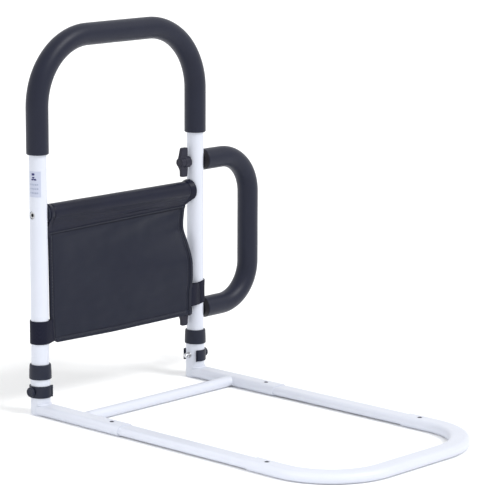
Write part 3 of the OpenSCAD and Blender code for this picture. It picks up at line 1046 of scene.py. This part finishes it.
def cloth_piece(name, us, vs, point, nodes, material=CLOTH):
    """A cloth sheet from point(u, v), given thickness and one level of subdivision."""
    verts = [point(u, v) for v in vs for u in us]
    ob = make(name, verts, grid_faces(len(vs), len(us)))
    solid = ob.modifiers.new("cloth", "SOLIDIFY")
    solid.thickness = SHEET_T * MM
    solid.offset = 0.0
    sub = ob.modifiers.new("fine", "SUBSURF")
    sub.levels = sub.render_levels = 1
    finish_piece(ob, "hoop", material, nodes)
    return ob


def flat_size(point, rows=80, cols=80):
    """Mean width and length of a sheet, measured along its own lines, in metres."""
    g = np.array([[point(j / cols, i / rows) for j in range(cols + 1)] for i in range(rows + 1)])
    wide = np.linalg.norm(np.diff(g, axis=1), axis=2).sum(1).mean()
    long = np.linalg.norm(np.diff(g, axis=0), axis=2).sum(0).mean()
    return (round(wide * MM, 4), round(long * MM, 4))


panel = cloth_piece("pouch_back", spread(PANEL_W), spread(PANEL_H), panel_point, ["pouch_panel"])
flat_size(panel_point)
sleeve = cloth_piece(
    "pouch_roll", spread(SLEEVE_W), shares(110), sleeve_point, ["pouch_sleeve"], SHADED_ROLL_CLOTH
)
flat_size(sleeve_point)


def strip(name, pts, high, thick, material=CLOTH, up=UP):
    """A narrow folded strip of cloth laid along a line of points."""
    ob = band_sweep(name, pts, rounded_rect(high, thick, thick / 2, 3), up)
    finish_piece(ob, "hoop", material)


def seam_line(count, lift):
    """Points along the seam, lift in front of it."""
    long = SEAM_END - SEAM_START
    return [(SEAM_START + long * u, seam_y(u) - lift, seam_z(u)) for u in shares(count)]


strip("seam_fold", seam_line(131, 1.1), 3.2, 1.9)
# A dark strip under the seam fold, painted as the fold's shade.
below = [(x, y, z - 2.2) for x, y, z in seam_line(131, 0.9)]
strip("seam_shade", below, 1.0, 1.1, TAPE_AND_SHADE)


def hem_shade(name, u):
    """A dark strip painted as the shade in the crease of a stitched hem round the sleeve's end."""
    pts = []
    for i in range(3, 98):
        x, y, z = sleeve_point(u, i / 100)
        out = Vector((0, y, z - BAR_Z)).normalized() * 0.55
        pts.append((x, y + out.y, z + out.z))
    strip(name, pts, 0.9, 0.8, TAPE_AND_SHADE, ACROSS)


hem_shade("sleeve_hem_shade_left", HEM / SLEEVE_W)
hem_shade("sleeve_hem_shade_right", 1 - (HEM + 1.2) / SLEEVE_W)


# one stitch: share of its length, radius and rise of each of its rings
STITCH = ((0, 0.1, -0.2), (0.15, 0.33, 0.1), (0.5, 0.38, 0.2), (0.85, 0.33, 0.1), (1, 0.1, -0.2))
STITCH_SIDES = 6


def stitch_verts(a, b, up):
    """The rings of one stitch from a to b."""
    side = (b - a).normalized().cross(up).normalized()
    verts = []
    for share, r, rise in STITCH:
        p = a.lerp(b, share) + up * rise
        for k in range(STITCH_SIDES):
            g = TAU * k / STITCH_SIDES
            verts.append(tuple(p + side * (r * math.cos(g)) + up * (r * math.sin(g))))
    return verts


def stitches(name, pts, lift=(0, -1, 0), pitch=4.4, length=3.0):
    """One mesh of short thread stitches laid along a line of points, raised along lift."""
    line_pts = [Vector(p) for p in pts]
    run = distances(line_pts)
    columns = [[p[k] for p in line_pts] for k in range(3)]

    def spot(d):
        return Vector([float(np.interp(d, run, column)) for column in columns])

    verts, faces = [], []
    d = pitch
    while d + length < run[-1]:
        first = len(verts)
        verts += stitch_verts(spot(d), spot(d + length), Vector(lift))
        quads = grid_faces(len(STITCH), STITCH_SIDES, True)
        faces += [tuple(first + k for k in quad) for quad in quads]
        d += pitch
    finish_piece(recalc(make(name, verts, faces)), "hoop", THREAD)


def on_panel(u, v, out=0.75):
    """A point out in front of the panel."""
    x, y, z = panel_point(u, v)
    return (x, y - out, z)


# Stitches of the lighter thread along the top of the seam fold: real stitching, whose light line also
# paints the fold's highlight.
stitches("stitch_seam_and_highlight", [(x, y - 0.95, z + 0.3) for x, y, z in seam_line(65, 1.1)])
binding = [on_panel(1 - 5.0 / PANEL_W, i / 90, 0.55) for i in range(3, 88)]
strip("edge_binding_right", binding, 2.1, 0.9, TAPE_AND_SHADE, ACROSS)
binding = [on_panel(2.0 / PANEL_W, i / 90, 0.55) for i in range(3, 84)]
strip("edge_binding_left", binding, 2.2, 0.9, TAPE_AND_SHADE, ACROSS)
stitches("stitch_right", [on_panel(1 - 8.4 / PANEL_W, i / 70, 0.5) for i in range(2, 69)])
stitches("stitch_left", [on_panel(5.4 / PANEL_W, i / 70) for i in range(2, 69)])
stitches("stitch_hem", [on_panel(u, 1 - 5.0 / PANEL_H) for u in shares(90, 0.04, 0.96)])


# half the pocket's width, its front's distance from the hoop plane, and its heights
POCKET_HALF, POCKET_DEPTH = 106.6, 12.4
POCKET_TOP, POCKET_LOW = 213.5, 103.0
PANEL_START = LEFT_EDGE[1][1]


def panel_y(x, v):
    """The panel's distance from the hoop plane at a place across it."""
    return panel_point((x - PANEL_START) / PANEL_W, v)[1]


def pocket_side(side, back, t, belly):
    """A point of a side wall, t from the panel out to the pocket's front."""
    x = side * (POCKET_HALF + belly * math.sin(math.pi * t))
    return x, back + (POCKET_DEPTH - back) * t


def pocket_point(u, v):
    """The pocket on the far side: out from the panel, across and back, with a bulged front."""
    z = POCKET_LOW + (POCKET_TOP - POCKET_LOW) * v
    top, low = seam_z(0.5) + 1, hem_z(0.5)
    v_panel = (top - z) / (top - low)
    left_wall, right_wall = POCKET_DEPTH + 8, POCKET_DEPTH + 22
    total = left_wall + 2 * POCKET_HALF + right_wall
    s = u * total
    belly = math.sin(math.pi * min(1.0, v * 0.9 + 0.05))
    if s < left_wall:
        x, y = pocket_side(-1, panel_y(-POCKET_HALF, v_panel) + 1.8, s / left_wall, belly)
        return (x, y, z)
    if s > total - right_wall:
        t = (total - s) / right_wall
        x, y = pocket_side(1, panel_y(POCKET_HALF, v_panel) + 1.8, t, belly)
        return (x, y, z)
    t = (s - left_wall) / (2 * POCKET_HALF)
    wave = 0.7 * noise.noise(Vector((t * 5, v * 3, 7.7)))
    y = POCKET_DEPTH + (belly + wave) * math.sin(math.pi * t) ** 0.5
    y -= 1.6 * (1 - abs(2 * t - 1) ** 6) * smooth_step((v - 0.8) * 5) * math.sin(math.pi * t)
    return (-POCKET_HALF + 2 * POCKET_HALF * t, y, z)


def pocket_floor(u, v):
    """The pocket's floor, from the panel to the pocket's front."""
    half, front = POCKET_HALF - 0.6, POCKET_DEPTH - 0.4
    x = -half + 2 * half * u
    back = panel_y(x, 0.975) + 2.0
    return (x, back + (front - back) * v, 103.2 - 0.8 * math.sin(math.pi * v))


pocket = cloth_piece("pouch_front", shares(150), spread(110, 8), pocket_point, ["pouch_pocket"])
flat_size(pocket_point)
base_cloth = cloth_piece("pouch_floor", shares(75), shares(12), pocket_floor, ["pouch_pocket"])
flat_size(pocket_floor)
mouth = [pocket_point(u, 0.985) for u in shares(150)]
strip("pocket_mouth", mouth, 7.0, 2.4, TAPE_AND_SHADE)
below = [pocket_point(u, 0.93) for u in shares(120, 0.09, 0.87)]
stitches("stitch_mouth", [(x, y + 0.75, z) for x, y, z in below], lift=(0, 1, 0))


# ---- straps -------------------------------------------------------------------------------------

STRAP_R = 13.35


def strap(node, path, edges):
    """Webbing along a level path; edges(x, y) gives its lower and upper edge."""
    pts, rings = [], []
    for p in path:
        low, high = edges(p.x, p.y)
        pts.append(Vector((p.x, p.y, (low + high) / 2)))
        rings.append(rounded_rect(high - low, 1.4, 0.6, 3))
    ob = band_sweep(node + "_loop", pts, rings)
    finish_piece(ob, "hoop", WEB, [node])


def ring_point(side, degrees):
    """A point of the strap's path round a leg."""
    a = math.radians(degrees)
    return Vector((side * LEG + STRAP_R * math.cos(a), STRAP_R * math.sin(a), 0))


def strap_path(side, tail, start, first, last):
    """The tail from the panel onto the leg at start, then a turn round it from first to last."""
    tail = [Vector((x, y, 0)) for x, y in tail] + [ring_point(side, start)]
    return curve(tail) + [ring_point(side, turn) for turn in shares(60, first, last)[1:]]


def left_edges(x, y):
    """The left strap is level, and a little higher at its tail."""
    rise = 1.2 * smooth_step((x + 150) / 18)
    return 102.0 + rise, 135.0 + rise


def right_edges(x, y):
    """The right strap rises at its tail and round the leg's outer side, over the handle's foam."""
    rise = 5.0 * smooth_step((x - 136) / 30) + 3.8 * smooth_step((-y - 13.5) / 6)
    low, high = 110.5 + rise, 143.5 + rise
    if x > LEG + 4:
        over = math.sqrt(max(0.0, (HANDLE_R + 0.5) ** 2 - y * y))
        low = max(low, HANDLE_LOW + over)
    return low, high


LEFT_TAIL = ((-137.5, -8.9), (-142.0, -9.9), (-147.5, -11.9))
RIGHT_TAIL = ((110, -21.0), (120, -21.9), (130, -22.3), (137, -21.0), (145, -16.4))
strap("left_strap", strap_path(-1, LEFT_TAIL, -78, -80, -405), left_edges)
strap("right_strap", strap_path(1, RIGHT_TAIL, -106, -104, 251), right_edges)


# ---- label --------------------------------------------------------------------------------------


def on_leg(name, a0, a1, z0, z1, material, slant=0.0, cols=10):
    """A printed patch on the label film, between two angles and two heights below its top."""
    r = LEG_R + 0.235
    verts = []
    for i in range(2):
        for share in shares(cols - 1):
            a = math.radians(a0 + (a1 - a0) * share + slant * i)
            z = LABEL_TOP - z0 + (z0 - z1) * i
            verts.append((-LEG + r * math.cos(a), r * math.sin(a), z))
    ob = make(name, verts, grid_faces(2, cols))
    film = ob.modifiers.new("film", "SOLIDIFY")
    film.thickness = 0.04 * MM
    film.offset = 1.0
    finish_piece(ob, "hoop", material)


def label_rows(rows=3, dashes=5):
    """Rows of plain dashes in place of small print."""
    for k in range(rows):
        low = 19.4 + k * 5.9
        for j in range(dashes):
            start = 174 + j * 12
            stop = start + 7 + (j + k) % 2
            on_leg(f"label_row_{k}_{j}", start, stop, low, low - 2.2, GREY_INK, cols=5)


on_leg("label_mark_a", 182, 198, 12.4, 7.4, BLUE_INK, slant=10)
on_leg("label_mark_b", 203, 219, 12.4, 2.4, BLUE_INK, slant=-14)
on_leg("label_mark_c", 186, 203, 5.6, 2.4, BLUE_INK)
label_rows()


# ---- bar screws ---------------------------------------------------------------------------------


def screw_recess_shade(side):
    """A near-black disc painted as the shade at the bottom of the bar screw's hexagon recess."""
    profile = [(0.01, 8.5), (2.1, 8.5), (2.1, 9.4), (1.8, 9.7), (0.01, 9.7)]
    place = (side * LEG, 0, BAR_Z)
    ob = lathe(f"screw_recess_shade_{side + 1}", [(r, side * h) for r, h in profile], place, "X", 24)
    finish_piece(recalc(ob), "hoop", CAP_AND_SHADE)


for side in (-1, 1):
    screw_recess_shade(side)


# ---- carried-over CAD nodes ---------------------------------------------------------------------

FINISH = {
    "white_powder_coat": COAT,
    "black_plastic": PLASTIC,
    "pin_steel": CHROME,
    "plated_steel": STEEL,
    "dark_steel": BLACKENED,
    "plain_steel": STEEL,
    "brass": BRASS,
    "foam_skin": FOAM,
    "pouch_cloth": CLOTH,
    "webbing": WEB,
    "label_film": LABEL,
}
# The handle caps take the near-black cap plastic, darkened partly as painted shade.
for node, ob in frame["nodes"].items():
    ob.data.materials.clear()
    ob.data.materials.append(CAP_AND_SHADE if node.endswith("handle_cap") else FINISH[SLOT_OF[node]])


# ---- stage --------------------------------------------------------------------------------------


def stage():
    """A wide plain floor, just under the object."""
    bpy.ops.mesh.primitive_plane_add(size=40, location=(0, 0, -0.0002))
    floor = bpy.context.object
    floor.name = "floor"
    m = Nodes("floor_white", (0.96, 0.965, 0.97), 0.85)
    m.rough(m.noise(3, 2), 0.8, 0.9)
    floor.data.materials.append(m.mat)


def camera():
    """Looks from the front left, a little above; offsets are from a point over the hoop's centre."""
    azimuth, elevation, roll = math.radians(-46.80), math.radians(10.91), math.radians(0.20)
    side, up_shift, distance = 187.83, -65.24, 3525.95
    flat = math.cos(elevation)
    back = Vector((math.sin(azimuth) * flat, -math.cos(azimuth) * flat, math.sin(elevation)))
    right = Vector((math.cos(azimuth), math.sin(azimuth), 0))
    up = back.cross(right)
    c, s = math.cos(roll), math.sin(roll)
    right, up = right * c + up * s, up * c - right * s
    data = bpy.data.cameras.new("camera")
    data.sensor_width = 36.0
    data.lens = 176.7384
    data.clip_start, data.clip_end = 0.1, 100
    ob = bpy.data.objects.new("camera", data)
    bpy.context.scene.collection.objects.link(ob)
    place = at(0, 0, 280) + (right * side + up * up_shift + back * distance) * MM
    m = Matrix((right, up, back)).transposed().to_4x4()
    m.translation = place
    ob.matrix_world = m
    bpy.context.scene.camera = ob


def lamp(name, kind, energy, direction):
    """A light that shines along direction."""
    data = bpy.data.lights.new(name, kind)
    data.energy = energy
    ob = bpy.data.objects.new(name, data)
    bpy.context.scene.collection.objects.link(ob)
    ob.rotation_euler = Vector(direction).to_track_quat("-Z", "Y").to_euler()
    return ob


def lights():
    """A white surround, a soft high key light and a faint glow along the base's left side."""
    world = bpy.data.worlds.new("studio")
    bpy.context.scene.world = world
    world.use_nodes = True
    surround = world.node_tree.nodes["Background"]
    surround.inputs["Color"].default_value = (1.0, 1.0, 1.0, 1)
    surround.inputs["Strength"].default_value = 1.02
    key = lamp("key", "SUN", 1.6, (-0.20, 0.75, -0.80))
    key.data.angle = math.radians(20)
    glow = lamp("base_glow", "AREA", 0.35, (0.70, -0.05, -0.42))
    glow.location = (-0.95, -0.15, 0.42)
    glow.visible_camera = False
    glow.data.shape = "RECTANGLE"
    glow.data.size, glow.data.size_y = 0.8, 0.2
    glow.data.spread = math.radians(60)
    view = bpy.context.scene.view_settings
    view.view_transform = "Standard"
    view.look = "None"
    view.exposure = 0.0


stage()
camera()
lights()
